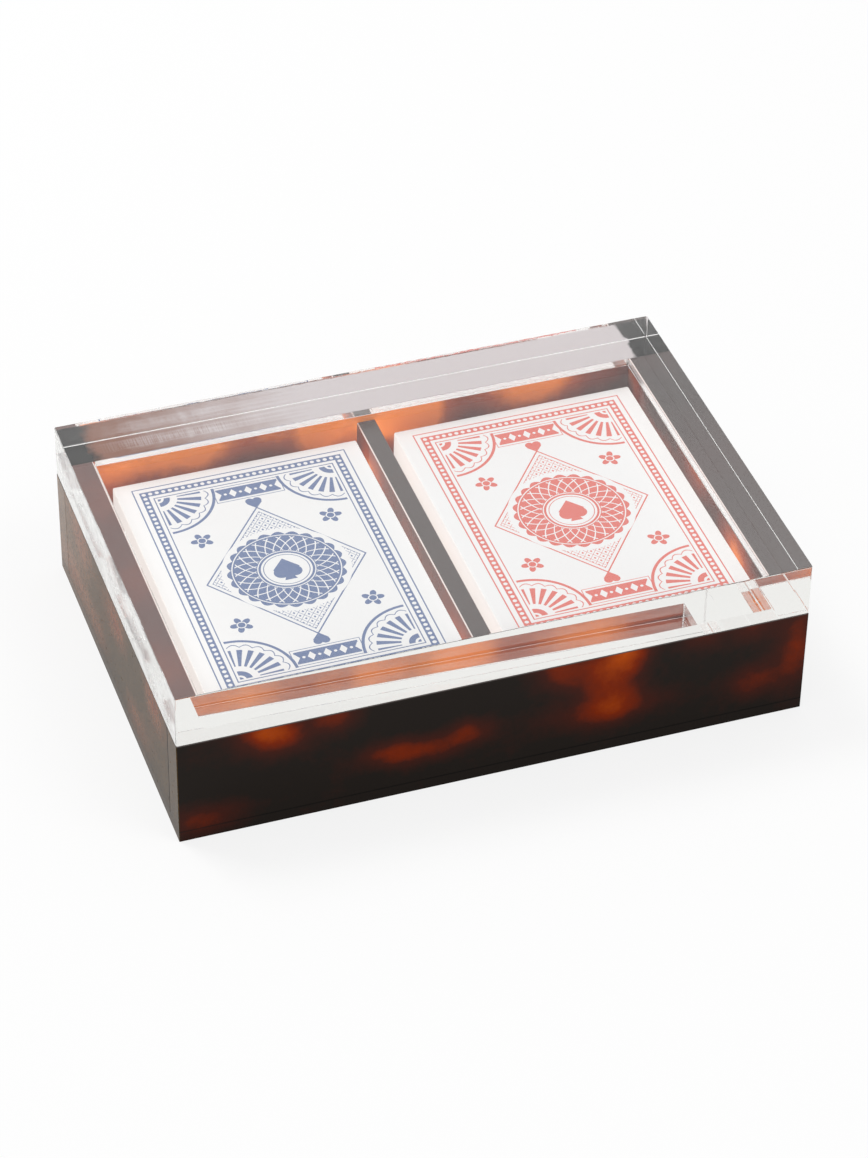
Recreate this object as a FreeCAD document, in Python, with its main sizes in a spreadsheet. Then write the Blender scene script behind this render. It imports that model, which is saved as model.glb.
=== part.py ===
import FreeCAD, Part
import math
import os
import re

# A box for two decks of playing cards: a tray of cemented acrylic plates with a divider, and a
# thick clear lid that lifts off. A deck is a paperboard tuck case with its cards inside.
# Millimetres, +X to the right along the front, +Y to the back, +Z up. The origin is the centre of
# the footprint, on the surface that the box stands on.

# ---- driving dimensions ---------------------------------------------------------------------

SIZES = {
    # cards and their tuck case
    "card_width": 63.5,
    "card_length": 88.9,
    "card_thickness": 0.31,
    "card_air": 0.01,
    "card_corner_radius": 3.5,
    "board_thickness": 0.45,
    "card_side_play": 1.05,
    "card_end_play": 0.65,
    "card_top_play": 1.37,
    "fold_radius": 0.4,
    "flap_side_inset": 0.3,
    "tongue_length": 16.0,
    "tongue_side_inset": 1.2,
    "tongue_corner_radius": 7.0,
    "dust_flap_length": 17.0,
    "dust_flap_slit": 0.4,
    "thumb_notch_radius": 8.0,
    # places of the decks in their compartments
    "deck_left_gap": 3.7,
    "deck_right_gap": 1.8,
    "deck_front_gap": 1.25,
    "deck_back_gap": 4.75,
    "deck_headroom": 3.8,
    # tray
    "base_thickness": 3.2,
    "wall_thickness": 8.0,
    "divider_thickness": 5.0,
    "divider_gap": 2.0,
    "plate_arris": 0.15,
    # lid
    "slab_thickness": 15.0,
    "plug_thickness": 4.0,
    "plug_clearance": 0.25,
    "lid_bevel": 0.4,
}

SUITS = ("spades", "hearts", "clubs", "diamonds")
SUIT_CARD_COUNT = 13
JOKER_COUNT = 2
DECK_CARD_COUNT = SUIT_CARD_COUNT * len(SUITS) + JOKER_COUNT
DECKS = ("blue", "red")

# A flat at 45 degrees touches the corner's arc, and then one at each of its ends, halfway to the side.
# Each is a share of the corner radius.
CORNER_CUT = 2 - math.sqrt(2)
CORNER_END_CUT = math.tan(math.pi / 8) - math.tan(math.pi / 16)

# ---- lengths that follow from the driving dimensions ------------------------------------------

FORMULAS = {
    "card_pitch": "card_thickness + card_air",
    "stack_height": f"{DECK_CARD_COUNT} * card_pitch",
    "case_width": "card_width + 2 * (card_side_play + board_thickness)",
    "case_length": "card_length + 2 * card_end_play + 4 * board_thickness",
    "case_thickness": "stack_height + card_top_play + 3 * board_thickness",
    "bay_width": "deck_left_gap + case_width + deck_right_gap",
    "bay_depth": "deck_front_gap + case_length + deck_back_gap",
    "box_length": "2 * bay_width + divider_thickness + 2 * wall_thickness",
    "box_depth": "bay_depth + 2 * wall_thickness",
    "wall_height": "case_thickness + deck_headroom + plug_thickness",
    "divider_height": "case_thickness + deck_headroom - divider_gap",
    "tray_height": "base_thickness + wall_height",
    "plug_length": "box_length - 2 * (wall_thickness + plug_clearance)",
    "plug_depth": "box_depth - 2 * (wall_thickness + plug_clearance)",
    "flap_width": "case_width - 2 * flap_side_inset",
    "tongue_width": "case_width - 2 * tongue_side_inset",
}


def expression(formula):
    """The formula as a FreeCAD expression: every name becomes its cell or its own formula."""

    def written_out(match):
        name = match.group()
        if name in FORMULAS:
            return f"({expression(FORMULAS[name])})"
        if name not in SIZES:
            raise KeyError(f"no size is named {name}")
        return f"Sizes.{name}"

    return re.sub(r"[a-z_]+", written_out, formula)


def bind(thing, **formulas):
    """Binds properties of an object: Placement_Base_x stands for Placement.Base.x."""
    for path, formula in formulas.items():
        thing.setExpression(path.replace("_", "."), expression(formula))


def bind_place(thing, x, y, z):
    bind(thing, Placement_Base_x=x, Placement_Base_y=y, Placement_Base_z=z)


doc = FreeCAD.newDocument("PlayingCardBox")
sheet = doc.addObject("Spreadsheet::Sheet", "Sizes")
for row, (alias, value) in enumerate(SIZES.items(), start=1):
    sheet.set(f"A{row}", alias)
    sheet.set(f"B{row}", str(value))
    sheet.setAlias(f"B{row}", alias)
doc.recompute()

# ---- features -----------------------------------------------------------------------------------


def new_body(label, x, y, z):
    body = doc.addObject("PartDesign::Body", label)
    body.Label = label
    bind_place(body, x, y, z)
    return body


def block(body, name, length, depth, height, x="0", y="0", z="0", cut=False):
    """A rectangular block added to the body, or cut out of it."""
    kind = "PartDesign::SubtractiveBox" if cut else "PartDesign::AdditiveBox"
    box = body.newObject(kind, name)
    bind(box, Length=length, Width=depth, Height=height)
    bind_place(box, x, y, z)
    doc.recompute()
    return box


def edges_where(shape, test):
    """Names of the edges for which test(lowest corner, highest corner) holds."""
    found = []
    for number, edge in enumerate(shape.Edges, start=1):
        box = edge.BoundBox
        low = FreeCAD.Vector(box.XMin, box.YMin, box.ZMin)
        high = FreeCAD.Vector(box.XMax, box.YMax, box.ZMax)
        if test(low, high):
            found.append(f"Edge{number}")
    return found


def dress(body, kind, name, base, size_property, size, test):
    """A Chamfer or Fillet of that size on the edges of base that pass the test."""
    feature = body.newObject(f"PartDesign::{kind}", name)
    feature.Base = (base, edges_where(base.Shape, test))
    bind(feature, **{size_property: size})
    doc.recompute()
    return feature


def near(a, b):
    return abs(a - b) < 1e-6


# ---- tray: base plate, four walls and the divider -----------------------------------------------


def plate(label, length, depth, height, x, y, z, cemented):
    """A sawn and polished plate. Its edges are broken, but for those of its cemented face."""
    body = new_body(label, x, y, z)
    slab = block(body, f"{label}_sheet", length, depth, height)
    joint = slab.Shape.BoundBox.ZMax if cemented == "top" else slab.Shape.BoundBox.ZMin
    dress(
        body, "Chamfer", f"{label}_arris", slab, "Size", "plate_arris",
        lambda low, high: not (near(low.z, joint) and near(high.z, joint)),
    )


plate(
    "base_plate", "box_length", "box_depth", "base_thickness",
    "-box_length / 2", "-box_depth / 2", "0", cemented="top",
)
for label, y in (("front_wall", "-box_depth / 2"), ("back_wall", "box_depth / 2 - wall_thickness")):
    plate(
        label, "box_length", "wall_thickness", "wall_height",
        "-box_length / 2", y, "base_thickness", cemented="bottom",
    )
for label, x in (("left_wall", "-box_length / 2"), ("right_wall", "box_length / 2 - wall_thickness")):
    plate(
        label, "wall_thickness", "bay_depth", "wall_height",
        x, "wall_thickness - box_depth / 2", "base_thickness", cemented="bottom",
    )
plate(
    "divider", "divider_thickness", "bay_depth", "divider_height",
    "-divider_thickness / 2", "wall_thickness - box_depth / 2", "base_thickness", cemented="bottom",
)

# ---- lid: a clear slab with a locating plug cemented under it -----------------------------------

slab_body = new_body("lid_slab", "-box_length / 2", "-box_depth / 2", "tray_height")
slab_sheet = block(slab_body, "slab_sheet", "box_length", "box_depth", "slab_thickness")
dress(slab_body, "Chamfer", "slab_bevel", slab_sheet, "Size", "lid_bevel", lambda low, high: True)

plug_body = new_body("lid_plug", "-plug_length / 2", "-plug_depth / 2", "tray_height - plug_thickness")
plug_sheet = block(plug_body, "plug_sheet", "plug_length", "plug_depth", "plug_thickness")
plug_top = plug_sheet.Shape.BoundBox.ZMax
dress(
    plug_body, "Chamfer", "plug_bevel", plug_sheet, "Size", "lid_bevel",
    lambda low, high: not near(low.z, plug_top),
)

# ---- decks --------------------------------------------------------------------------------------


def tuck_case(label, x, y, z):
    """The folded sleeve of a tuck case: its front end is glued shut, its back end is open and has
    the two dust flaps, and its lower panel has the thumb notch."""
    body = new_body(label, x, y, z)
    outline = block(body, f"{label}_outline", "case_width", "case_length", "case_thickness")
    back = outline.Shape.BoundBox.YMax
    dress(
        body, "Fillet", f"{label}_folds", outline, "Radius", "fold_radius",
        lambda low, high: not near(low.y, back),
    )
    block(
        body, f"{label}_hollow", "case_width - 2 * board_thickness",
        "case_length - 2 * board_thickness", "case_thickness - 2 * board_thickness",
        "board_thickness", "2 * board_thickness", "board_thickness", cut=True,
    )
    block(
        body, f"{label}_mouth", "case_width", "board_thickness", "case_thickness - board_thickness",
        "0", "case_length - board_thickness", "board_thickness", cut=True,
    )
    for side, flap_x in (
        ("left", "board_thickness"),
        ("right", "case_width - board_thickness - dust_flap_length"),
    ):
        block(
            body, f"{label}_{side}_dust_flap", "dust_flap_length", "board_thickness",
            "case_thickness - 3 * board_thickness - 2 * dust_flap_slit",
            flap_x, "case_length - 2 * board_thickness", "2 * board_thickness + dust_flap_slit",
        )
    notch = body.newObject("PartDesign::SubtractiveCylinder", f"{label}_thumb_notch")
    bind(notch, Radius="thumb_notch_radius", Height="board_thickness")
    bind_place(notch, "case_width / 2", "case_length", "0")
    doc.recompute()


def tuck_flap(label, x, y, z):
    """The flap that closes the back end, creased at the top and tucked in over the lower panel."""
    body = new_body(label, x, y, z)
    closure = block(
        body, f"{label}_closure", "flap_width", "board_thickness", "case_thickness - board_thickness",
        "flap_side_inset", "case_length - board_thickness", "board_thickness",
    )
    back = closure.Shape.BoundBox.YMax
    dress(
        body, "Fillet", f"{label}_crease", closure, "Radius", "fold_radius",
        lambda low, high: near(low.y, back) and near(low.z, high.z),
    )
    tongue = block(
        body, f"{label}_tongue", "tongue_width", "tongue_length", "board_thickness",
        "tongue_side_inset", "case_length - board_thickness - tongue_length", "board_thickness",
    )
    tip = tongue.Shape.BoundBox.YMin
    dress(
        body, "Fillet", f"{label}_corners", tongue, "Radius", "tongue_corner_radius",
        lambda low, high: near(high.y, tip) and near(low.x, high.x),
    )


def cards(label, count, x, y, z):
    """Cards lying on each other, each a solid of its own with a film of air between two. A round
    corner is cut in three flats that touch its arc: there are too many cards for finer ones."""
    body = new_body(label, x, y, z)
    body.AllowCompound = True

    def upright(low, high):
        return near(low.x, high.x) and near(low.y, high.y)

    card = block(body, f"{label}_card", "card_width", "card_length", "card_thickness")
    for step, share in (("corner", CORNER_CUT), ("corner_ends", CORNER_END_CUT)):
        size = f"{share:.6f} * card_corner_radius"
        card = dress(body, "Chamfer", f"{label}_{step}", card, "Size", size, upright)
    stack = body.newObject("PartDesign::LinearPattern", f"{label}_stack")
    stack.TransformMode = "Whole shape"
    stack.Direction = (next(f for f in body.Origin.OriginFeatures if f.Role == "Z_Axis"), [""])
    bind(stack, Length=f"{count - 1} * card_pitch")
    stack.Occurrences = count
    body.Tip = stack
    doc.recompute()


for colour in DECKS:
    side = "-box_length / 2 + wall_thickness" if colour == "blue" else "divider_thickness / 2"
    case_x = f"{side} + deck_left_gap"
    case_y = "-box_depth / 2 + wall_thickness + deck_front_gap"
    tuck_case(f"{colour}_tuck_case", case_x, case_y, "base_thickness")
    tuck_flap(f"{colour}_tuck_flap", case_x, case_y, "base_thickness")
    card_x = f"{case_x} + board_thickness + card_side_play"
    card_y = f"{case_y} + 2 * board_thickness + card_end_play"
    for place, suit in enumerate((*SUITS, "jokers")):
        count = JOKER_COUNT if suit == "jokers" else SUIT_CARD_COUNT
        below = f"{place * SUIT_CARD_COUNT} * card_pitch"
        cards(
            f"{colour}_{suit}", count, card_x, card_y,
            f"base_thickness + 2 * board_thickness + {below}",
        )

# ---- checks and files ---------------------------------------------------------------------------

doc.recompute()
failed = [o.Label for o in doc.Objects if {"Invalid", "Error"} & set(o.State)]
if failed:
    raise RuntimeError(f"these objects did not compute: {failed}")
bodies = [o for o in doc.Objects if o.TypeId == "PartDesign::Body"]
for body in bodies:
    if body.Shape.isNull() or not body.Shape.isValid():
        raise RuntimeError(f"{body.Label} has no valid shape")

os.makedirs("parts", exist_ok=True)
for body in bodies:
    body.Shape.exportStep(f"parts/{body.Label}.step")
    print(body.Label, len(body.Shape.Solids), "solids", round(body.Shape.Volume, 3), "mm3")
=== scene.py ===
import math

import bpy
import numpy as np
from mathutils import Matrix, Vector


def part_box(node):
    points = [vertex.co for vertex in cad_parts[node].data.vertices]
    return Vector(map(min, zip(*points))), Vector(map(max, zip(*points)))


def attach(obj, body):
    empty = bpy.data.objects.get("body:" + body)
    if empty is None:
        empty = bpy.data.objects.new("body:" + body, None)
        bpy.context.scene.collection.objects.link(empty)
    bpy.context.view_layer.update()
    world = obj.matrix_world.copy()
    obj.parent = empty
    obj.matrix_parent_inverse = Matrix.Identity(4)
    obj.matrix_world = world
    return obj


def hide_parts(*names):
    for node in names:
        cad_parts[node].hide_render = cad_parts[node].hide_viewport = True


# A playing card box: tortoiseshell acrylic tray, thick clear lid, two decks in printed tuck cases.
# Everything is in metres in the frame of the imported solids. Patterns are worked out in millimetres
# on Object coordinates, because that is how the sizes of prints and patches are thought of.

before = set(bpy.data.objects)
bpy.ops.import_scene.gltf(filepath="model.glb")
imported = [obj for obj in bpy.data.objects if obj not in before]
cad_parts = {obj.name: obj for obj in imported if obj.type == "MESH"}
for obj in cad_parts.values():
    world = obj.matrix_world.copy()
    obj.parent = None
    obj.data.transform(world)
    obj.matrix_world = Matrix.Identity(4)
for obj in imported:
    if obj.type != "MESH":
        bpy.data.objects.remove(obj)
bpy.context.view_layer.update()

bl_info = {
    "name": "Playing Card Box",
    "version": (1, 0, 0),
    "blender": (4, 5, 0),
    "location": "View3D > Sidebar > Card Box",
    "description": "Tortoiseshell and clear acrylic box with two decks of playing cards",
    "category": "Object",
}

MM = 0.001
# A face's own colour reaches this far in from it, and ends in a step this wide.
SKIN = 0.2 * MM
STEP = 0.05 * MM
ACRYLIC_IOR = 1.49
BOARD_IOR = 1.45
TRAY_NODES = ("base_plate", "front_wall", "back_wall", "left_wall", "right_wall", "divider")
DECKS = ("blue", "red")
CARD_SUITS = ("spades", "hearts", "clubs", "diamonds", "jokers")


# ---- sizes and colours that a user would change ----------------------------------------------


def linear_colour(name, description, default):
    """A colour property in scene linear values."""
    return bpy.props.FloatVectorProperty(
        name=name, description=description, default=default, subtype="COLOR", size=3, min=0, max=1
    )


def length(name, description, default):
    """A length property in metres."""
    return bpy.props.FloatProperty(name=name, description=description, default=default, unit="LENGTH")


class LidSettings(bpy.types.PropertyGroup):
    edge_radius: length("Edge Radius", "Radius of the polished edges", 0.25 * MM)
    air_film: length("Air Film", "Gap between the slab and the tops of the walls", 0.06 * MM)
    edge_steps: bpy.props.IntProperty(
        name="Edge Steps", description="Facets across a polished edge", default=4, min=1, max=12
    )
    saw_wave: length("Saw Wave", "Height of the saw waves left in the back and left faces", 0.05 * MM)
    plug_taper: length("Plug Taper", "How much thicker the plug's sheet is on the right", 1.0 * MM)
    side_tint: linear_colour("Side Tint", "Colour of light through the sawn sides", (0.86, 0.86, 0.835))


class TortoiseshellSettings(bpy.types.PropertyGroup):
    dark: linear_colour("Dark", "Colour of the dark ground", (0.0150, 0.0112, 0.0090))
    ember: linear_colour("Ember", "Colour where the ground starts to glow", (0.052, 0.0115, 0.0070))
    rust: linear_colour("Rust", "Colour halfway into a patch", (0.19, 0.018, 0.001))
    amber: linear_colour("Amber", "Colour of the middle of a patch", (0.42, 0.060, 0.001))
    honey: linear_colour("Honey", "Colour of the brightest middle", (0.98, 0.25, 0.020))
    # The left side's colours carry a painted sheen: the left side is paler, and paler again towards its
    # back end, for the white floor that it reflects at a glancing angle.
    side_sheened_ground: linear_colour("Side Ground", "Colour of the paler left side", (0.088, 0.050, 0.017))
    side_sheened_ember: linear_colour("Side Ember", "Colour of the glow on the left side", (0.24, 0.085, 0.034))
    side_back_sheen: linear_colour("Side Veil", "Colour of the left side's dusty end", (0.47, 0.315, 0.23))
    # Satin and Plum are partly the saw's own finish on the back wall's top and partly a painted
    # reflection.
    satin: linear_colour("Satin", "Colour of the back wall's sawn top", (0.56, 0.51, 0.515))
    plum: linear_colour("Plum", "Colour of the half polished part of that top", (0.215, 0.085, 0.050))
    soaked: linear_colour("Soaked Light", "Light that soaks through the walls", (1.0, 0.92, 0.87))
    soaked_strength: bpy.props.FloatProperty(
        name="Soaked Strength", description="Strength of that light", default=1.28, min=0
    )
    # Top Haze is a painted sheen on the tops, for the white room that they reflect.
    top_sheen: linear_colour("Top Haze", "Colour of the hazy polish on the tops", (0.122, 0.103, 0.099))
    # Bright Edge is a painted highlight along the broken inner edges.
    edge_highlight: linear_colour("Bright Edge", "Colour of the broken inner edges", (0.86, 0.76, 0.72))
    drift: bpy.props.FloatProperty(
        name="Drift", description="How far the patches are drawn out of round, in mm", default=9.0
    )


class PrintSettings(bpy.types.PropertyGroup):
    board: linear_colour("Board", "White tuck case board", (0.83, 0.83, 0.825))
    blue_ink: linear_colour("Blue Ink", "Ink of the first deck", (0.085, 0.140, 0.30))
    red_ink: linear_colour("Red Ink", "Ink of the second deck", (0.68, 0.120, 0.090))
    bead_pitch: length("Bead Pitch", "Distance between the beads of the frame", 1.757 * MM)
    bead_radius: length("Bead Radius", "Radius of a bead", 0.56 * MM)


class StageSettings(bpy.types.PropertyGroup):
    azimuth: bpy.props.FloatProperty(
        name="Azimuth", description="Turn of the camera round the box", subtype="ANGLE",
        default=math.radians(-19.45),
    )
    elevation: bpy.props.FloatProperty(
        name="Elevation", description="Height of the camera above the horizon", subtype="ANGLE",
        default=math.radians(38.93),
    )
    roll: bpy.props.FloatProperty(
        name="Roll", description="Turn of the camera about its own axis", subtype="ANGLE",
        default=math.radians(0.98),
    )
    distance: length("Distance", "From the camera to its target", 1.0316)
    target: bpy.props.FloatVectorProperty(
        name="Target", description="Point that the camera looks at", subtype="XYZ",
        default=(0.01007, 0.02112, 0.0),
    )
    focal_length: bpy.props.FloatProperty(
        name="Focal Length", description="Lens of the camera, in mm", default=120.49
    )
    floor_albedo: bpy.props.FloatProperty(
        name="Floor Albedo", description="Share of light that the floor gives back", default=0.85
    )
    room_light: bpy.props.FloatProperty(
        name="Room Light", description="Strength of the white room as a light", default=0.62, min=0
    )
    key_power: bpy.props.FloatProperty(
        name="Key Power", description="Power of the softbox behind the box, in watts", default=24.0, min=0
    )
    fill_power: bpy.props.FloatProperty(
        name="Fill Power", description="Power of the softbox before the box, in watts", default=9.0, min=0
    )


# ---- shader expressions ----------------------------------------------------------------------


class Link:
    """A socket of a node tree. Arithmetic on it adds Math nodes, and node() adds any other node."""

    def __init__(self, tree, socket=None):
        self.tree = tree
        self.socket = socket

    def node(self, kind, settings=None, inputs=None, output=0):
        """Adds a node of a kind, sets its settings, then its sockets, and wraps one output."""
        made = self.tree.nodes.new(kind)
        for key, value in (settings or {}).items():
            if key == "stops":
                self._set_stops(made.color_ramp, value)
            else:
                setattr(made, key, value)
        for key, value in (inputs or {}).items():
            if isinstance(value, Link):
                self.tree.links.new(value.socket, made.inputs[key])
            elif value is not None:
                made.inputs[key].default_value = value
        return Link(self.tree, made.outputs[output] if len(made.outputs) else None)

    @staticmethod
    def _set_stops(ramp, stops):
        """Gives a colour ramp its stops, each a position and a linear colour."""
        while len(ramp.elements) < len(stops):
            ramp.elements.new(1.0)
        for element, (position, colour) in zip(ramp.elements, stops):
            element.position = position
            element.color = (*colour, 1.0)

    def math(self, operation, *values, clamp=False):
        """Adds a Math node whose first value is this link."""
        settings = {"operation": operation, "use_clamp": clamp}
        return self.node("ShaderNodeMath", settings, dict(enumerate((self, *values))))

    def __add__(self, value):
        return self.math("ADD", value)

    __radd__ = __add__

    def __mul__(self, value):
        return self.math("MULTIPLY", value)

    __rmul__ = __mul__

    def __sub__(self, value):
        return self.math("SUBTRACT", value)

    def __rsub__(self, value):
        return self.node("ShaderNodeMath", {"operation": "SUBTRACT"}, {0: value, 1: self})

    def __truediv__(self, value):
        return self.math("DIVIDE", value)

    def __neg__(self):
        return self * -1.0

    def __pow__(self, value):
        return self.math("POWER", value)

    def __abs__(self):
        return self.math("ABSOLUTE")


def larger(first, *others):
    """The largest of some values."""
    for other in others:
        first = first.math("MAXIMUM", other)
    return first


def clamped(value):
    """The value held between 0 and 1."""
    return value.math("ADD", 0.0, clamp=True)


def above(value, limit, width):
    """0 below the limit and 1 above it, with a straight step of the given width between."""
    return ((value - limit) / width).math("ADD", 0.5, clamp=True)


def below(value, limit, width):
    """1 below the limit and 0 above it, with a straight step of the given width between."""
    return ((limit - value) / width).math("ADD", 0.5, clamp=True)


def near_low(value, face, reach=SKIN, step=STEP):
    """1 close to a face at the low end of the value."""
    return below(value, face + reach, step)


def near_high(value, face, reach=SKIN, step=STEP):
    """1 close to a face at the high end of the value."""
    return above(value, face - reach, step)


def near_ends(value, low_face, high_face, reach=SKIN, step=STEP):
    """1 close to either of two faces."""
    return larger(near_low(value, low_face, reach, step), near_high(value, high_face, reach, step))


def distance(across, up):
    """Length of the vector with these two parts."""
    return (across * across + up * up).math("SQRT")


def mixed(factor, first, second):
    """A colour between two colours. A colour mix has its colours in sockets 6 and 7 and gives its
    colour in output 2."""
    settings = {"data_type": "RGBA", "clamp_factor": True}
    return factor.node("ShaderNodeMix", settings, {0: factor, 6: rgba(first), 7: rgba(second)}, output=2)


def rgba(colour):
    """A colour with its alpha, or a link as it is."""
    return colour if isinstance(colour, Link) else (*colour, 1.0)


def dimmed(colour, share):
    """A plain colour brought down to a share of itself."""
    return [part * share for part in colour]


def noise(vector, scale, detail=2.0, roughness=0.5, output="Fac"):
    """Cloudy noise, whose scale is in waves a metre."""
    inputs = {"Vector": vector, "Scale": scale, "Detail": detail, "Roughness": roughness}
    return vector.node("ShaderNodeTexNoise", {}, inputs, output=output)


def stretched(vector, scale):
    """The vector with each part multiplied by its own number."""
    return vector.node("ShaderNodeMapping", {"vector_type": "POINT"}, {"Vector": vector, "Scale": scale})


def parts(vector):
    """The three parts of a vector as separate links."""
    node = vector.node("ShaderNodeSeparateXYZ", {}, {0: vector}).socket.node
    return [Link(vector.tree, socket) for socket in node.outputs]


def new_material(name):
    """An empty material, as a link to build on, and its Object coordinates."""
    material = bpy.data.materials.new(name)
    material.use_nodes = True
    material.node_tree.nodes.clear()
    start = Link(material.node_tree)
    place = start.node("ShaderNodeTexCoord", output="Object")
    return material, place


def ray_is(start, kind):
    """1 for rays of this kind."""
    path = start.node("ShaderNodeLightPath").socket.node
    return Link(start.tree, path.outputs[f"Is {kind} Ray"])


def finish_material(shader):
    """Joins the shader to the material's output."""
    shader.node("ShaderNodeOutputMaterial", {}, {"Surface": shader})


def wear(node_name, material):
    """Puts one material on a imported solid."""
    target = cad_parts[node_name]
    target.data.materials.clear()
    target.data.materials.append(material)


# ---- the stage -------------------------------------------------------------------------------


def seen_directly(start, camera, glossy, transmission):
    """The share of plain white that camera, mirror and glass rays see in place of the lit surface."""
    share = larger(ray_is(start, "Camera") * camera, ray_is(start, "Glossy") * glossy)
    return larger(share, ray_is(start, "Transmission") * transmission)


def make_floor(albedo):
    """A wide flat floor, in metres, whose own white is mixed with plain white for direct looks."""
    size = 6.0
    corners = [(-size, -size, 0), (size, -size, 0), (size, size, 0), (-size, size, 0)]
    mesh = bpy.data.meshes.new("studio_floor")
    mesh.from_pydata(corners, [], [(0, 1, 2, 3)])
    floor = bpy.data.objects.new("studio_floor", mesh)
    bpy.context.scene.collection.objects.link(floor)
    material, place = new_material("pale floor")
    own_white = {"Color": (albedo, albedo, albedo, 1), "Roughness": 0.0}
    paper = place.node("ShaderNodeBsdfDiffuse", {}, own_white)
    white = place.node("ShaderNodeEmission", {}, {"Color": (1, 1, 1, 1), "Strength": 1.0})
    share = seen_directly(place, camera=0.80, glossy=0.15, transmission=0.80)
    finish_material(place.node("ShaderNodeMixShader", {}, {0: share, 1: paper, 2: white}))
    mesh.materials.append(material)


def make_world(strength):
    """A white room: plain white to look at, softer as a light."""
    world = bpy.data.worlds.new("white studio")
    world.use_nodes = True
    world.node_tree.nodes.clear()
    start = Link(world.node_tree)
    share = seen_directly(start, camera=1.0, glossy=1.0, transmission=1.0)
    soft = start.node("ShaderNodeBackground", {}, {"Color": (1, 1, 1, 1), "Strength": strength})
    white = start.node("ShaderNodeBackground", {}, {"Color": (1, 1, 1, 1), "Strength": 1.0})
    both = start.node("ShaderNodeMixShader", {}, {0: share, 1: soft, 2: white})
    start.node("ShaderNodeOutputWorld", {}, {"Surface": both})
    bpy.context.scene.world = world


def make_softbox(name, place, size, power):
    """A square lamp that points at the middle of the box."""
    lamp = bpy.data.lights.new(name, "AREA")
    lamp.shape = "SQUARE"
    lamp.size = size
    lamp.energy = power
    holder = bpy.data.objects.new(name, lamp)
    holder.location = place
    holder.rotation_euler = (-Vector(place)).to_track_quat("-Z", "Y").to_euler()
    holder.visible_glossy = False
    holder.visible_transmission = False
    bpy.context.scene.collection.objects.link(holder)


def make_camera(settings):
    """A camera on a ball round its target: back is the way from the target to the camera."""
    turn, rise, roll = settings.azimuth, settings.elevation, settings.roll
    back = Vector((math.sin(turn) * math.cos(rise), -math.cos(turn) * math.cos(rise), math.sin(rise)))
    right = (-back).cross(Vector((0, 0, 1))).normalized()
    up = right.cross(-back)
    level = math.cos(roll) * right + math.sin(roll) * up
    upright = math.cos(roll) * up - math.sin(roll) * right
    camera = bpy.data.cameras.new("camera")
    camera.sensor_fit = "AUTO"
    camera.sensor_width = 36.0
    camera.lens = settings.focal_length
    camera.clip_start = 0.01
    camera.clip_end = 50.0
    holder = bpy.data.objects.new("camera", camera)
    place = Vector(settings.target) + back * settings.distance
    turned = Matrix((level, upright, back)).transposed()
    holder.matrix_world = Matrix.Translation(place) @ turned.to_4x4()
    bpy.context.scene.collection.objects.link(holder)
    bpy.context.scene.camera = holder


class CARDBOX_OT_stage(bpy.types.Operator):
    """Makes the floor, the white room, the soft lamps and the camera"""

    bl_idname = "card_box.stage"
    bl_label = "Stage"

    def execute(self, context):
        scene = context.scene
        scene.view_settings.view_transform = "Standard"
        # Light crosses the faces of the lid many times before it leaves.
        scene.cycles.max_bounces = 24
        scene.cycles.min_light_bounces = 8
        scene.cycles.glossy_bounces = 14
        scene.cycles.transmission_bounces = 20
        scene.cycles.transparent_max_bounces = 16
        # The usual pattern leaves a dotted grain on the lid.
        scene.cycles.sampling_pattern = "TABULATED_SOBOL"
        settings = scene.card_box_stage
        make_camera(settings)
        make_floor(settings.floor_albedo)
        make_world(settings.room_light)
        make_softbox("key_softbox", place=(-0.9, 1.1, 1.7), size=0.9, power=settings.key_power)
        make_softbox("fill_softbox", place=(1.0, -1.1, 1.3), size=1.0, power=settings.fill_power)
        return {"FINISHED"}


# ---- the clear lid ---------------------------------------------------------------------------


def rounded_rectangle(half_width, half_depth, radius, steps):
    """Points round a rectangle whose corners are arcs of the radius, as an array of N by 2."""
    angles = np.linspace(0, math.pi / 2, steps + 1)
    turns = (np.arange(4)[:, None] * math.pi / 2 + angles).ravel()
    signs = np.repeat(np.array([(1, 1), (-1, 1), (-1, -1), (1, -1)], float), steps + 1, axis=0)
    centres = signs * (half_width - radius, half_depth - radius)
    return centres + radius * np.column_stack((np.cos(turns), np.sin(turns)))


def lid_rings(low, high, plug_low, plug_high, radius, air, steps):
    """The section of the lid from the plug's underside to the slab's top, as rows of
    half width, half depth, height and corner radius. Each row is one ring of the surface. The first
    rings, up to the shoulder, are the plug's."""
    plug = (plug_high - plug_low) / 2
    slab = (high - low) / 2
    turn = np.linspace(0, math.pi / 2, steps + 1)
    out = radius * (1 - np.sin(turn))
    rise = radius * (1 - np.cos(turn))
    rows = []
    for inset, height in zip(out, plug_low.z + rise):
        rows.append((plug.x - inset, plug.y - inset, height, 2 * radius - inset))
    shoulder = low.z + air
    rows.append((plug.x, plug.y, shoulder, 2 * radius))
    for inset, height in zip(out, shoulder + rise):
        rows.append((slab.x - inset, slab.y - inset, height, 2 * radius - inset))
    for inset, height in zip(out[::-1], high.z - rise[::-1]):
        rows.append((slab.x - inset, slab.y - inset, height, 2 * radius - inset))
    return rows


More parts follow.
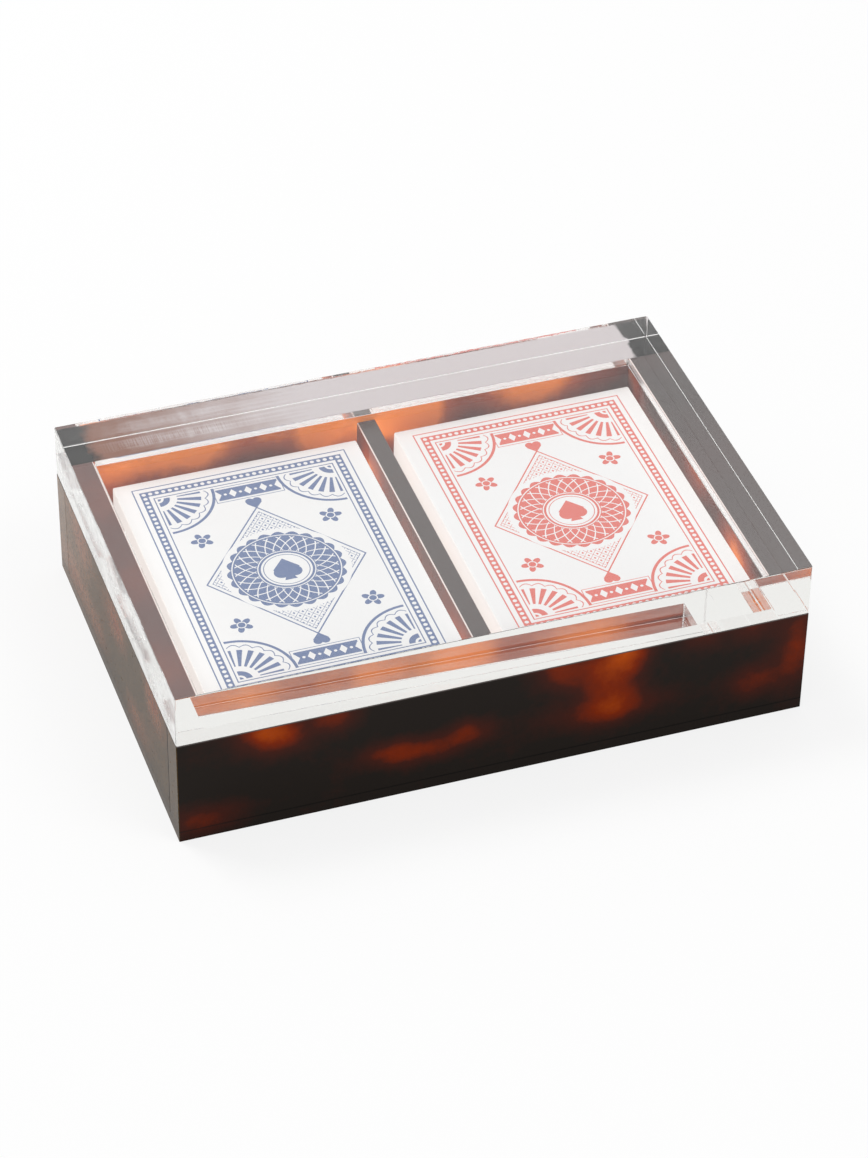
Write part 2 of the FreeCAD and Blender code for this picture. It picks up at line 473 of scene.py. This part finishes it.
def make_lid(settings):
    """The lid is one clear block: a slab with a plug under it that drops into the tray. Its surface
    is a stack of rounded rectangles, one for each row of its section, closed by two flat faces. The
    plug's underside tilts about its middle, lower on the right, as cast sheet varies in thickness."""
    slab_low, slab_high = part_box("lid_slab")
    plug_low, plug_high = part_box("lid_plug")
    middle = (slab_low + slab_high) / 2
    steps = settings.edge_steps
    rows = lid_rings(
        slab_low, slab_high, plug_low, plug_high, settings.edge_radius, settings.air_film, steps
    )
    rings = []
    for index, (half_width, half_depth, height, radius) in enumerate(rows):
        ring = rounded_rectangle(half_width, half_depth, radius, steps)
        on_underside = 1.0 if index <= steps else 0.0
        drop = settings.plug_taper * on_underside * ring[:, 0] / (2 * rows[0][0])
        rings.append(np.column_stack((ring + (middle.x, middle.y), height - drop)))
    count = len(rings[0])
    here = np.arange(len(rings) - 1)[:, None] * count + np.arange(count)
    beside = np.arange(len(rings) - 1)[:, None] * count + (np.arange(count) + 1) % count
    quads = np.stack((here, beside, beside + count, here + count), axis=-1).reshape(-1, 4)
    underside = list(range(count))[::-1]
    top = [(len(rings) - 1) * count + index for index in range(count)]
    mesh = bpy.data.meshes.new("clear_lid")
    mesh.from_pydata(np.vstack(rings).tolist(), [], [*quads.tolist(), underside, top])
    mesh.validate()
    lid = bpy.data.objects.new("clear_lid", mesh)
    bpy.context.scene.collection.objects.link(lid)
    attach(lid, "lid")
    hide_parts("lid_slab", "lid_plug")
    return lid


def clear_acrylic(settings):
    """Clear cast acrylic: polished faces, but the plug's sides and the slab's left and back faces keep
    shallow saw waves and some satin. Light and soft bounces pass straight through it, so that what
    lies under it stays lit."""
    material, place = new_material("clear acrylic")
    low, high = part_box("lid_slab")
    plug_low, plug_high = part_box("lid_plug")
    across, depth, up = parts(place)
    step = 2 * STEP
    left = near_low(across, low.x, step=step)
    back = near_high(depth, high.y, step=step)
    ends = near_ends(across, low.x, high.x, step=step)
    long_sides = near_ends(depth, low.y, high.y, step=step)
    sides = larger(ends, long_sides) * above(up, low.z, step)
    plug_ends = near_ends(across, plug_low.x, plug_high.x, step=step)
    plug_long = near_ends(depth, plug_low.y, plug_high.y, step=step)
    polished = plug_low.z + 0.9 * MM
    plug_height = below(up, low.z, step) * above(up, polished, step)
    waves = noise(stretched(place, (1.0, 1.0, 2.2)), 90.0, 3.0, 0.6)
    smears = noise(stretched(place, (1.0, 0.6, 1.3)), 150.0, 2.0, 0.45)
    height = left * (waves + smears) + back * waves * 0.35
    saw_waves = {"Strength": 1.0, "Distance": settings.saw_wave, "Height": height}
    bump = place.node("ShaderNodeBump", {}, saw_waves)
    glass = place.node(
        "ShaderNodeBsdfPrincipled",
        {},
        {
            "Base Color": mixed(sides, (1.0, 1.0, 1.0), settings.side_tint),
            "Roughness": 0.0,
            "IOR": ACRYLIC_IOR,
            "Transmission Weight": 1.0,
            "Normal": bump,
        },
    )
    satin = place.node("ShaderNodeBsdfDiffuse", {}, {"Color": (0.95, 0.95, 0.94, 1)})
    streaks = noise(stretched(place, (0.25, 0.25, 5.0)), 260.0, 2.0)
    plug_share = plug_ends * (0.25 + streaks * 0.35) + plug_long * (0.06 + streaks * 0.24)
    left_share = left * (0.14 + above(smears, 0.5, 0.3) * 0.42)
    satin_share = plug_share * plug_height + left_share + back * 0.05
    sawn = place.node("ShaderNodeMixShader", {}, {0: satin_share, 1: glass, 2: satin})
    through = place.node("ShaderNodeBsdfTransparent", {}, {"Color": (1.0, 1.0, 1.0, 1)})
    lit = place.node("ShaderNodeMixShader", {}, {0: ray_is(place, "Diffuse"), 1: sawn, 2: through})
    finish_material(
        place.node("ShaderNodeMixShader", {}, {0: ray_is(place, "Shadow"), 1: lit, 2: through})
    )
    return material


class CARDBOX_OT_lid(bpy.types.Operator):
    """Makes the clear lid with its plug"""

    bl_idname = "card_box.lid"
    bl_label = "Clear Lid"

    def execute(self, context):
        settings = context.scene.card_box_lid
        lid = make_lid(settings)
        lid.data.materials.append(clear_acrylic(settings))
        return {"FINISHED"}


# ---- the tortoiseshell tray ------------------------------------------------------------------

# Each patch of a plate: millimetres along and up from the plate's lower corner, half width,
# half height and strength.
PATCHES = {
    "front_wall": (
        (22.5, 29.5, 8.0, 6.5, 0.52),
        (27.5, 24.0, 8.0, 6.0, 0.30),
        (41.0, 28.0, 6.5, 5.0, 0.36),
        (53.5, 12.5, 7.0, 4.6, 0.40),
        (63.0, 9.8, 10.5, 4.2, 0.40),
        (75.0, 12.0, 6.0, 4.6, 0.34),
        (97.5, 29.0, 6.5, 7.0, 0.36),
        (104.0, 24.0, 8.0, 6.5, 0.30),
        (116.0, 29.0, 7.0, 6.5, 0.50),
        (113.5, 19.5, 7.5, 10.0, 0.46),
        (111.5, 11.0, 14.0, 5.0, 0.40),
        (136.0, 27.5, 7.0, 6.0, 0.30),
        (150.5, 27.5, 7.0, 6.5, 0.34),
        (163.0, 18.0, 6.0, 14.0, 0.42),
        (151.5, 9.0, 8.0, 5.5, 0.34),
        (6.0, 3.0, 13.0, 5.5, 0.38),
    ),
    "left_wall": (
        (84.0, 24.0, 13.0, 7.0, 0.37),
        (92.0, 5.0, 14.0, 6.0, 0.40),
        (50.0, 23.0, 10.0, 7.0, 0.41),
        (12.0, 24.0, 9.0, 7.0, 0.36),
        (30.0, 5.0, 12.0, 5.0, 0.20),
        (68.0, 6.0, 9.0, 5.0, 0.24),
    ),
    "right_wall": (
        (20.0, 16.0, 10.0, 9.0, 0.65),
        (48.0, 24.0, 12.0, 6.0, 0.45),
        (75.0, 10.0, 10.0, 6.0, 0.70),
        (96.0, 22.0, 9.0, 6.0, 0.50),
    ),
    "back_wall": (
        (14.0, 22.0, 15.0, 14.0, 0.78),
        (37.0, 24.0, 13.0, 12.0, 0.90),
        (56.0, 26.0, 8.0, 9.0, 0.58),
        (70.0, 22.0, 9.0, 16.0, 0.86),
        (85.0, 24.0, 9.0, 14.0, 0.72),
        (99.0, 22.0, 10.0, 14.0, 1.10),
        (121.0, 23.0, 10.0, 13.0, 0.64),
        (134.0, 24.0, 10.0, 12.0, 0.80),
        (150.0, 23.0, 12.0, 12.0, 0.26),
    ),
    "divider": (
        (10.0, 10.0, 12.0, 8.0, 0.45),
        (60.0, 6.0, 16.0, 6.0, 0.40),
        (88.0, 14.0, 9.0, 6.0, 0.45),
    ),
    "base_plate": (
        (30.0, 30.0, 18.0, 12.0, 0.7),
        (120.0, 24.0, 16.0, 14.0, 0.8),
        (70.0, 70.0, 14.0, 12.0, 0.6),
        (140.0, 84.0, 14.0, 10.0, 0.7),
        (20.0, 92.0, 12.0, 10.0, 0.6),
    ),
}
# How much painted sheen a top has, for the white room that it reflects, how much warmer it is than the
# rest of its plate, how much painted light warms the faces that look into the box, and the share of its
# patches that a plate keeps on the outside.
PLAIN_SHEEN = 0.75
TOP_SHEEN = {"back_wall": 0.0, "left_wall": 0.68, "base_plate": 0.10}
TOP_WARMTH = {"left_wall": 0.44, "right_wall": 0.06}
INNER_PAINTED_LIGHT = {
    "front_wall": 0.30,
    "back_wall": 0.10,
    "left_wall": 0.30,
    "right_wall": 0.26,
    "divider": 0.42,
    "base_plate": 0.0,
}
OUTER_SHARE = {"back_wall": 0.62, "base_plate": 0.6}
# Plates that stand along the depth of the box, which light soaks through, and plates that show on
# the left side of the box.
SIDE_PLATES = ("left_wall", "right_wall", "divider")
LEFT_SIDE_PLATES = ("left_wall", "front_wall", "back_wall", "base_plate")
# Height of the collar, the topmost part of the back wall's inner face, which warms up evenly.
COLLAR = 4.0 * MM
# Share of acrylic's full gloss that the plates have, since their faces are rubbed.
GLOSS = 0.06
LEFT_WALL_GLOSS = 0.04


def plate_coordinates(name, place):
    """Millimetres along and up a plate from its lower corner."""
    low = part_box(name)[0]
    across, depth, up = parts(place)
    along = depth - low.y if name in SIDE_PLATES else across - low.x
    rise = depth - low.y if name == "base_plate" else up - low.z
    return along / MM, rise / MM


def patch_heat(name, place, drift):
    """How far a point is into the amber: soft round patches, pulled about by two sizes of noise. It is
    worked out beyond the plate too, so that a pattern can run on over its neighbour."""
    along, rise = plate_coordinates(name, place)
    wide = parts(noise(place, 34.0, 2.0, 0.5, output="Color"))
    fine = parts(noise(place, 150.0, 2.0, 0.5, output="Color"))
    along = along + (wide[0] - 0.5) * drift + (fine[0] - 0.5) * (drift * 0.25)
    rise = rise + (wide[1] - 0.5) * (drift * 0.6) + (fine[1] - 0.5) * (drift * 0.25)
    heat = None
    for centre, height, half_width, half_height, strength in PATCHES[name]:
        reach = ((along - centre) / half_width) ** 2.0 + ((rise - height) / half_height) ** 2.0
        patch = (-reach).math("EXPONENT") * strength
        heat = patch if heat is None else heat + patch
    return heat


def inner_faces(name, place):
    """1 on the faces that look into the box."""
    low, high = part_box(name)
    across, depth, up = parts(place)
    if name == "front_wall":
        return near_high(depth, high.y)
    if name == "back_wall":
        return near_low(depth, low.y)
    if name == "right_wall":
        return near_low(across, low.x)
    if name == "left_wall":
        return near_high(across, high.x)
    if name == "base_plate":
        return near_high(up, high.z)
    return near_ends(across, low.x, high.x)


def inner_edges(name, place):
    """1 on the broken edges along the top of the faces that look into the box."""
    low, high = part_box(name)
    across, _, up = parts(place)
    reach = 0.28 * MM
    step = 2 * STEP
    if name == "left_wall":
        edge = near_high(across, high.x, reach, step)
    else:
        edge = near_low(across, low.x, reach, step)
    return edge * near_high(up, high.z, reach, step)


def sawn_top_and_reflection(place, low, high, settings):
    """The top of the back wall keeps the pale satin of the saw, all but its two ends, and its pale colour
    is also a painted reflection. It starts plum and half polished on the left, brushed lengthwise, with
    short teeth of the saw along its middle, and pales towards the right. Gives its share over the top and
    its colour."""
    across, depth, _ = parts(place)
    along = (across - low.x) / MM
    inward = (high.y - depth) / MM
    brushed = noise(stretched(place, (14.0, 900.0, 1.0)), 1.0, 3.0, 0.6)
    cloud = noise(place, 130.0, 3.0)
    comb = noise(stretched(place, (2900.0, 90.0, 1.0)), 1.0, 2.0, 0.6)
    length_of_teeth = noise(stretched(place, (240.0, 1.0, 1.0)), 1.0, 3.0, 0.7)
    start = above(along + (cloud - 0.5) * 12.0, 9.5, 3.0)
    stop = below(along - (cloud - 0.5) * 6.0, 159.0, 0.8)
    pale = above(along + (cloud - 0.5) * 24.0 + (brushed - 0.5) * 34.0, 41.0, 52.0)
    teeth = above(comb, 0.53, 0.34) * below(abs(inward - 3.4), length_of_teeth * 3.4, 1.6)
    teeth = teeth * above(along, 16.0, 12.0) * below(along, 50.0, 26.0)
    pale = clamped(pale + teeth * 0.50 + (brushed - 0.5) * 0.14)
    return start * stop, mixed(pale, settings.plum, settings.satin)


def amber_ramp(heat, ground, ember, settings):
    """The colour of the plate for how far a point is into a patch."""
    stops = (
        (0.0, ground),
        (0.10, ground),
        (0.36, ember),
        (0.58, settings.rust),
        (0.80, settings.amber),
        (1.0, settings.honey),
    )
    return heat.node("ShaderNodeValToRGB", {"stops": stops}, {"Fac": clamped(heat)})


def sheened_left_side(place, mottle, speckle, settings):
    """The left side of the box is paler, a painted sheen for the white floor that it reflects at a
    glancing angle, and specked like fine stone. The painted sheen grows towards the back, and the side is
    darker towards the foot. A dark seam shows where the left wall meets the front wall."""
    along, rise = plate_coordinates("left_wall", place)
    heat = patch_heat("left_wall", place, settings.drift) + mottle
    deep_tone = dimmed(settings.side_sheened_ground, 0.22)
    colour = amber_ramp(heat, settings.side_sheened_ground, settings.side_sheened_ember, settings)
    colour = mixed(above(along, 88.0, 50.0) * (0.50 + speckle * 0.30), colour, settings.side_back_sheen)
    colour = mixed(speckle * 0.60, colour, deep_tone)
    colour = mixed(below(rise, 1.0, 12.0) * 0.5, colour, deep_tone)
    return mixed(below(abs(along), 0.3, 0.1) * above(rise, 4.0, 1.0), colour, settings.dark)


def outer_joint(place):
    """1 on the broken edges of the joint that runs round the box over the base plate."""
    low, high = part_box("base_plate")
    across, depth, up = parts(place)
    round_the_box = larger(near_ends(across, low.x, high.x), near_ends(depth, low.y, high.y))
    return round_the_box * below(abs(up - high.z), SKIN, STEP)


def plate_heat(name, place, top, inner, settings):
    """The heat of a whole plate: its patches, weaker on top and outside, with the even warmth of its
    top and the painted light on the faces that look into the box."""
    low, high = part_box(name)
    _, depth, up = parts(place)
    kept = OUTER_SHARE.get(name, 1.0)
    heat = patch_heat(name, place, settings.drift) * (1 - top * 0.4) * (inner * (1.0 - kept) + kept)
    # Painted light: the faces that look into the box are warmer and brighter, for the light that comes in
    # through the lid and the amber walls.
    heat = heat + inner * INNER_PAINTED_LIGHT[name] + top * TOP_WARMTH.get(name, 0.0)
    if name == "back_wall":
        collar = inner * near_high(up, high.z, COLLAR, 0.5 * MM)
        heat = heat * (1 - collar * 0.5) + collar * 0.40
    if name == "base_plate":
        # The front wall's patches run on over the edge of the base plate.
        front = near_low(depth, low.y)
        heat = heat * (1 - front) + patch_heat("front_wall", place, settings.drift) * front
    return heat


def top_sheen(name, place, top):
    """How much painted sheen a plate's top has, for the white room that it reflects. On the right wall it
    thins out towards the back.
    """
    sheen_share = top * TOP_SHEEN.get(name, PLAIN_SHEEN)
    if name == "right_wall":
        low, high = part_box(name)
        way_back = (parts(place)[1] - low.y) / (high.y - low.y)
        sheen_share = sheen_share * (1.22 - way_back * 0.48)
    return sheen_share


def tortoiseshell(name, settings):
    """Tortoiseshell acrylic: dark ground with amber patches, polished, with fine scratches."""
    material, place = new_material(f"tortoiseshell {name.replace('_', ' ')}")
    low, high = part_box(name)
    across, _, up = parts(place)
    top = near_high(up, high.z)
    inner = inner_faces(name, place)
    fine = noise(place, 380.0, 4.0, 0.65)
    mottle = noise(place, 55.0, 4.0, 0.55) * 0.34 - 0.10 + (fine - 0.5) * 0.14
    speckle = above(noise(place, 950.0, 3.0, 0.7), 0.52, 0.22)
    heat = clamped(plate_heat(name, place, top, inner, settings) + mottle)
    colour = amber_ramp(heat, settings.dark, settings.ember, settings)
    grain = 0.12
    if name in LEFT_SIDE_PLATES:
        on_left = near_low(across, low.x)
        # The left side gets its painted sheen.
        colour = mixed(on_left, colour, sheened_left_side(place, mottle, speckle, settings))
        grain = on_left * 0.88 + 0.12
    # Painted sheen on the tops.
    colour = mixed(top_sheen(name, place, top), colour, settings.top_sheen)
    satin = 0.0
    if name == "back_wall":
        # The back wall's top: the saw's satin with a painted reflection.
        sawn, sawn_and_reflection_colour = sawn_top_and_reflection(place, low, high, settings)
        satin = sawn * top
        colour = mixed(top, colour, mixed(sawn, dimmed(settings.dark, 0.3), sawn_and_reflection_colour))
    if name in SIDE_PLATES:
        # A painted highlight along the broken inner edges of the tops.
        colour = mixed(inner_edges(name, place), colour, settings.edge_highlight)
    # Painted shade on the joint round the box: it darkens the broken edges, less where the plate is hot,
    # to take back the light that they catch.
    colour = mixed(outer_joint(place) * (0.85 - heat * 1.1), colour, dimmed(settings.dark, 0.2))
    scratches = scratch_lines(place)
    roughness = clamped(scratches * 0.2 + satin * 0.45 + (grain * 0.10 + 0.05))
    relief = (noise(place, 1300.0, 2.0, 0.6) * grain - scratches * 0.3) * (1 - top)
    bump = place.node("ShaderNodeBump", {}, {"Strength": 1.0, "Distance": 0.012 * MM, "Height": relief})
    shader = place.node(
        "ShaderNodeBsdfPrincipled",
        {},
        {
            "Base Color": colour,
            "Roughness": roughness,
            "IOR": ACRYLIC_IOR,
            "Specular IOR Level": LEFT_WALL_GLOSS if name == "left_wall" else GLOSS,
            "Normal": bump,
        },
    )
    if name in SIDE_PLATES:
        shader = soaked_light(shader, inner, settings)
        # Only rays that meet the glow find it, because it is no lamp.
        material.cycles.emission_sampling = "NONE"
    finish_material(shader)
    return material


def soaked_light(shader, inner, settings):
    """Daylight soaks through the amber walls and lights what stands close to them inside the box.
    Soft bounces therefore find the inner faces bright, and every other ray sees their own colour."""
    light = {"Color": (*settings.soaked, 1), "Strength": settings.soaked_strength}
    bright = shader.node("ShaderNodeEmission", {}, light)
    glowing = shader.node("ShaderNodeMixShader", {}, {0: inner, 1: shader, 2: bright})
    soft = ray_is(shader, "Diffuse")
    return shader.node("ShaderNodeMixShader", {}, {0: soft, 1: shader, 2: glowing})


def scratch_lines(place):
    """Hair-thin straight scratches in three directions: narrow crests of noise drawn out long."""
    lines = None
    for turn in (0.35, 1.25, 2.4):
        turned = place.node(
            "ShaderNodeMapping",
            {"vector_type": "POINT"},
            {"Vector": place, "Rotation": (turn, turn * 0.7, turn * 1.3), "Scale": (14.0, 900.0, 900.0)},
        )
        crest = above(noise(turned, 1.0, 0.0), 0.82, 0.03)
        lines = crest if lines is None else larger(lines, crest)
    return lines


class CARDBOX_OT_tray(bpy.types.Operator):
    """Gives each plate of the tray its own tortoiseshell pattern"""

    bl_idname = "card_box.tray"
    bl_label = "Tortoiseshell Tray"

    def execute(self, context):
        settings = context.scene.card_box_tortoiseshell
        for name in TRAY_NODES:
            wear(name, tortoiseshell(name, settings))
        return {"FINISHED"}


# ---- the printed tuck cases ------------------------------------------------------------------

# Width in millimetres over which ink fades into board.
INK_EDGE = 0.05
# Pitches of the bead frame from the middle of a face to its side and to its end, and millimetres
# from there to the panel inside the frame.
BEAD_COLUMNS = 15
BEAD_ROWS = 23
PANEL_MARGIN = 2.9


def line_at(value, centre, width):
    """A stripe of the width, in the millimetres of the value."""
    return below(abs(value - centre), width / 2, INK_EDGE)


def disc(across, up, radius):
    """A filled circle."""
    return below(distance(across, up), radius, INK_EDGE)


def lozenge(across, up, half_width, half_height):
    """A filled diamond: the shares of its half width and half height add up to less than 1."""
    reach = abs(across) / half_width + abs(up) / half_height
    return below(reach, 1.0, INK_EDGE / half_width)


def heart(across, up, size):
    """Two discs over a diamond, size being the radius of a disc."""
    side = abs(across)
    lobes = disc(side - 0.72 * size, up - 0.62 * size, size * 0.86)
    point = lozenge(across, up + 0.02 * size, 1.50 * size, 1.72 * size) * below(up, 0.75 * size, INK_EDGE)
    return larger(lobes, point)


def stem(across, up, size):
    """A foot that widens downwards."""
    inside = below(abs(across), 0.16 * size - (up + 0.6 * size) * 0.42, INK_EDGE)
    return inside * below(abs(up + 1.1 * size), 0.62 * size, INK_EDGE)


def spade(across, up, size):
    """A heart upside down on a stem."""
    return larger(heart(across, -up, size), stem(across, up, size * 1.12))


def wrapped(value, pitch):
    """The distance to the nearest multiple of the pitch, with its sign."""
    return value - (value / pitch).math("ROUND") * pitch


def bead_frame(side, end, corner, pitch, radius):
    """A band of white beads between two thin lines, round the panel. The bead centres lie on a
    rectangle that is a whole number of pitches each way, so that the corners hold a bead."""
    reach = larger(side - corner[0], end - corner[1])
    band = line_at(reach, 0.0, 2.05)
    beads = disc(wrapped(side, pitch), wrapped(end, pitch), radius)
    lines = larger(line_at(reach, 2.5, 0.34), line_at(reach, -2.15, 0.30))
    return larger(band * (1 - beads), lines)


def corner_fan(side, end, corner):
    """A quarter of a rayed shell that opens from the corner of the panel."""
    across = side - corner[0]
    up = end - corner[1]
    radius = distance(across, up)
    angle = up.math("ARCTAN2", across)
    rays = above((angle * 24.0).math("COSINE"), 0.0, 0.25)
    body = line_at(radius, 8.2, 6.2) * rays
    core = larger(line_at(radius, 2.4, 1.6), disc(across, up, 0.9))
    scallop = line_at(radius + abs((angle * 12.0).math("SINE")) * -0.9, 12.3, 0.3)
    rim = line_at(radius, 14.6, 0.8)
    return larger(body, core, scallop, rim)


def rosette(across, up):
    """The medallion: a solid scalloped ring with engine-turned white lines, and a spade in its middle."""
    radius = distance(across, up)
    angle = up.math("ARCTAN2", across)
    lobes = abs((angle * 12.0).math("SINE"))
    ring = below(radius - lobes * 1.1, 14.2, INK_EDGE)
    turned = larger(
        below(abs((angle * 12.0 + radius * 0.75).math("COSINE")), 0.20, 0.08),
        below(abs((angle * 12.0 - radius * 0.75).math("COSINE")), 0.20, 0.08),
    )
    engraved = turned * line_at(radius, 10.5, 5.6)
    rings = larger(line_at(radius, 13.9, 0.3), line_at(radius, 7.35, 0.3))
    window = below(radius, 6.6, INK_EDGE)
    solid = ring * (1 - larger(engraved, rings, window))
    return larger(solid, line_at(radius, 5.9, 0.22), spade(across, up - 0.35, 2.35))


def lattice(across, up, half_width, half_height):
    """Fine crossed lines with small diamonds in their meshes, inside a lozenge with a double edge."""
    reach = abs(across) / half_width + abs(up) / half_height
    pitch = 2.3
    directions = (across + up * 0.8, across - up * 0.8)
    threads = larger(*(line_at(wrapped(way, pitch), 0.0, 0.16) for way in directions))
    off_seed = larger(*(abs(wrapped(way + pitch / 2, pitch)) for way in directions))
    seeds = below(off_seed, 0.34, INK_EDGE)
    inside = below(reach, 0.93, 0.004)
    spread = reach * half_width
    edges = larger(line_at(spread, half_width, 0.5), line_at(spread, half_width * 0.93, 0.2))
    return larger(larger(threads, seeds) * inside, edges)


def pip_bar(side, end, centre, half_width, half_height):
    """A solid bar with white diamonds and dots in a row."""
    reach = larger(side - half_width, abs(end - centre) - half_height)
    bar = below(reach, 0.0, INK_EDGE)
    pitch = 4.1
    diamonds = lozenge(wrapped(side, pitch), end - centre, 1.05, 1.65)
    dots = disc(wrapped(side + pitch / 2, pitch), end - centre, 0.42)
    return larger(bar * (1 - larger(diamonds, dots)), line_at(reach, 0.75, 0.2))


def sprig(side, end, centre):
    """A small flower of five petals with a dot at its heart."""
    across = side - centre[0]
    up = end - centre[1]
    radius = distance(across, up)
    angle = up.math("ARCTAN2", across)
    petals = below(radius - abs((angle * 2.5).math("COSINE")) * 2.0, 1.0, INK_EDGE)
    return petals * (1 - line_at(radius, 1.1, 0.3))


def face_print(across, up, settings):
    """The design of a case's large faces, in millimetres from the middle of the face. It is the
    same four times over, mirrored left and right and end to end, as on the back of a card."""
    side = abs(across)
    end = abs(up)
    pitch = settings.bead_pitch / MM
    corner = (BEAD_COLUMNS * pitch, BEAD_ROWS * pitch)
    border = bead_frame(side, end, corner, pitch, settings.bead_radius / MM)
    inner = (corner[0] - PANEL_MARGIN, corner[1] - PANEL_MARGIN)
    panel = below(larger(side - inner[0], end - inner[1]), 0.0, INK_EDGE)
    fans = corner_fan(side, end, inner) * panel
    field = lattice(across, up, 21.0, 26.5)
    field = field * above(distance(across, up), 16.6, INK_EDGE)
    hearts = heart(across, end - 28.6, 1.35)
    bars = pip_bar(side, end, 34.2, 8.3, 2.3)
    flowers = sprig(side, end, (17.2, 17.6))
    return larger(border, fans, field, rosette(across, up), hearts, bars, flowers)


def deck_inks(settings):
    """The ink of each deck."""
    return {"blue": settings.blue_ink, "red": settings.red_ink}


def case_board(name, deck, ink, settings):
    """White coated board, printed on the two large faces."""
    material, place = new_material(f"{deck} case board {name.split('_', 1)[1].replace('_', ' ')}")
    low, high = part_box(f"{deck}_tuck_case")
    middle = (low + high) / 2
    x, y, z = parts(place)
    across = (x - middle.x) / MM
    up = (y - middle.y) / MM
    print_mask = face_print(across, up, settings)
    on_face = near_ends(z, low.z, high.z, step=0.02 * MM)
    cloud = noise(place, 60.0, 3.0)
    fibre = noise(place, 1500.0, 3.0, 0.7)
    mask = print_mask * on_face * (0.97 - above(fibre, 0.66, 0.1) * 0.12)
    paper = mixed(cloud * 0.5, settings.board, dimmed(settings.board, 0.95))
    colour = mixed(mask, paper, ink)
    roughness = clamped(0.34 + fibre * 0.12 - mask * 0.06)
    relief = fibre * 0.5 + cloud * 4.0
    bump = place.node("ShaderNodeBump", {}, {"Strength": 0.25, "Distance": 0.02 * MM, "Height": relief})
    shader = place.node(
        "ShaderNodeBsdfPrincipled",
        {},
        {"Base Color": colour, "Roughness": roughness, "IOR": BOARD_IOR, "Normal": bump},
    )
    finish_material(shader)
    return material


class CARDBOX_OT_cases(bpy.types.Operator):
    """Prints the two tuck cases and their flaps"""

    bl_idname = "card_box.cases"
    bl_label = "Tuck Cases"

    def execute(self, context):
        settings = context.scene.card_box_print
        inks = deck_inks(settings)
        for deck in DECKS:
            for part in ("tuck_case", "tuck_flap"):
                name = f"{deck}_{part}"
                wear(name, case_board(name, deck, inks[deck], settings))
        return {"FINISHED"}


# ---- the cards -------------------------------------------------------------------------------


def card_stock(deck, ink, settings):
    """Card stock: white, with a lattice back in the deck's ink that leaves a white margin."""
    material, place = new_material(f"{deck} card stock")
    low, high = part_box(f"{deck}_spades")
    middle = (low + high) / 2
    x, y, _ = parts(place)
    across = (x - middle.x) / MM
    up = (y - middle.y) / MM
    half_width, half_height = 28.0, 40.5
    pitch = 2.0
    directions = (across + up, across - up)
    threads = larger(*(line_at(wrapped(way, pitch), 0.0, 0.7) for way in directions))
    margin = larger(abs(across) - half_width, abs(up) - half_height)
    back = threads * below(margin, 0.0, INK_EDGE)
    fibre = noise(place, 1200.0, 2.0)
    colour = mixed(back * 0.9, settings.board, ink)
    bump = place.node("ShaderNodeBump", {}, {"Strength": 0.2, "Distance": 0.01 * MM, "Height": fibre})
    shader = place.node(
        "ShaderNodeBsdfPrincipled",
        {},
        {"Base Color": colour, "Roughness": clamped(0.3 + fibre * 0.1), "IOR": BOARD_IOR, "Normal": bump},
    )
    finish_material(shader)
    return material


class CARDBOX_OT_cards(bpy.types.Operator):
    """Gives the cards in both cases their stock and backs"""

    bl_idname = "card_box.cards"
    bl_label = "Cards"

    def execute(self, context):
        settings = context.scene.card_box_print
        inks = deck_inks(settings)
        for deck in DECKS:
            stock = card_stock(deck, inks[deck], settings)
            for suit in CARD_SUITS:
                wear(f"{deck}_{suit}", stock)
        return {"FINISHED"}


# ---- panel and registration ------------------------------------------------------------------


class VIEW3D_PT_card_box(bpy.types.Panel):
    """Lists the steps that make the box"""

    bl_idname = "VIEW3D_PT_card_box"
    bl_label = "Card Box"
    bl_space_type = "VIEW_3D"
    bl_region_type = "UI"
    bl_category = "Card Box"

    def draw(self, context):
        for operator in OPERATORS:
            self.layout.operator(operator.bl_idname)


OPERATORS = (CARDBOX_OT_stage, CARDBOX_OT_lid, CARDBOX_OT_tray, CARDBOX_OT_cases, CARDBOX_OT_cards)
SETTINGS = {
    "card_box_lid": LidSettings,
    "card_box_tortoiseshell": TortoiseshellSettings,
    "card_box_print": PrintSettings,
    "card_box_stage": StageSettings,
}


def register():
    """Registers the settings, the operators and the panel."""
    for kind in (*SETTINGS.values(), *OPERATORS, VIEW3D_PT_card_box):
        bpy.utils.register_class(kind)
    for name, kind in SETTINGS.items():
        setattr(bpy.types.Scene, name, bpy.props.PointerProperty(type=kind))


def unregister():
    """Takes them away again."""
    for name in SETTINGS:
        delattr(bpy.types.Scene, name)
    for kind in (VIEW3D_PT_card_box, *reversed(OPERATORS), *SETTINGS.values()):
        bpy.utils.unregister_class(kind)


def main():
    """Makes the stage and the pieces in order."""
    register()
    bpy.ops.card_box.stage()
    bpy.ops.card_box.lid()
    bpy.ops.card_box.tray()
    bpy.ops.card_box.cases()
    bpy.ops.card_box.cards()


if __name__ == "__main__":
    main()
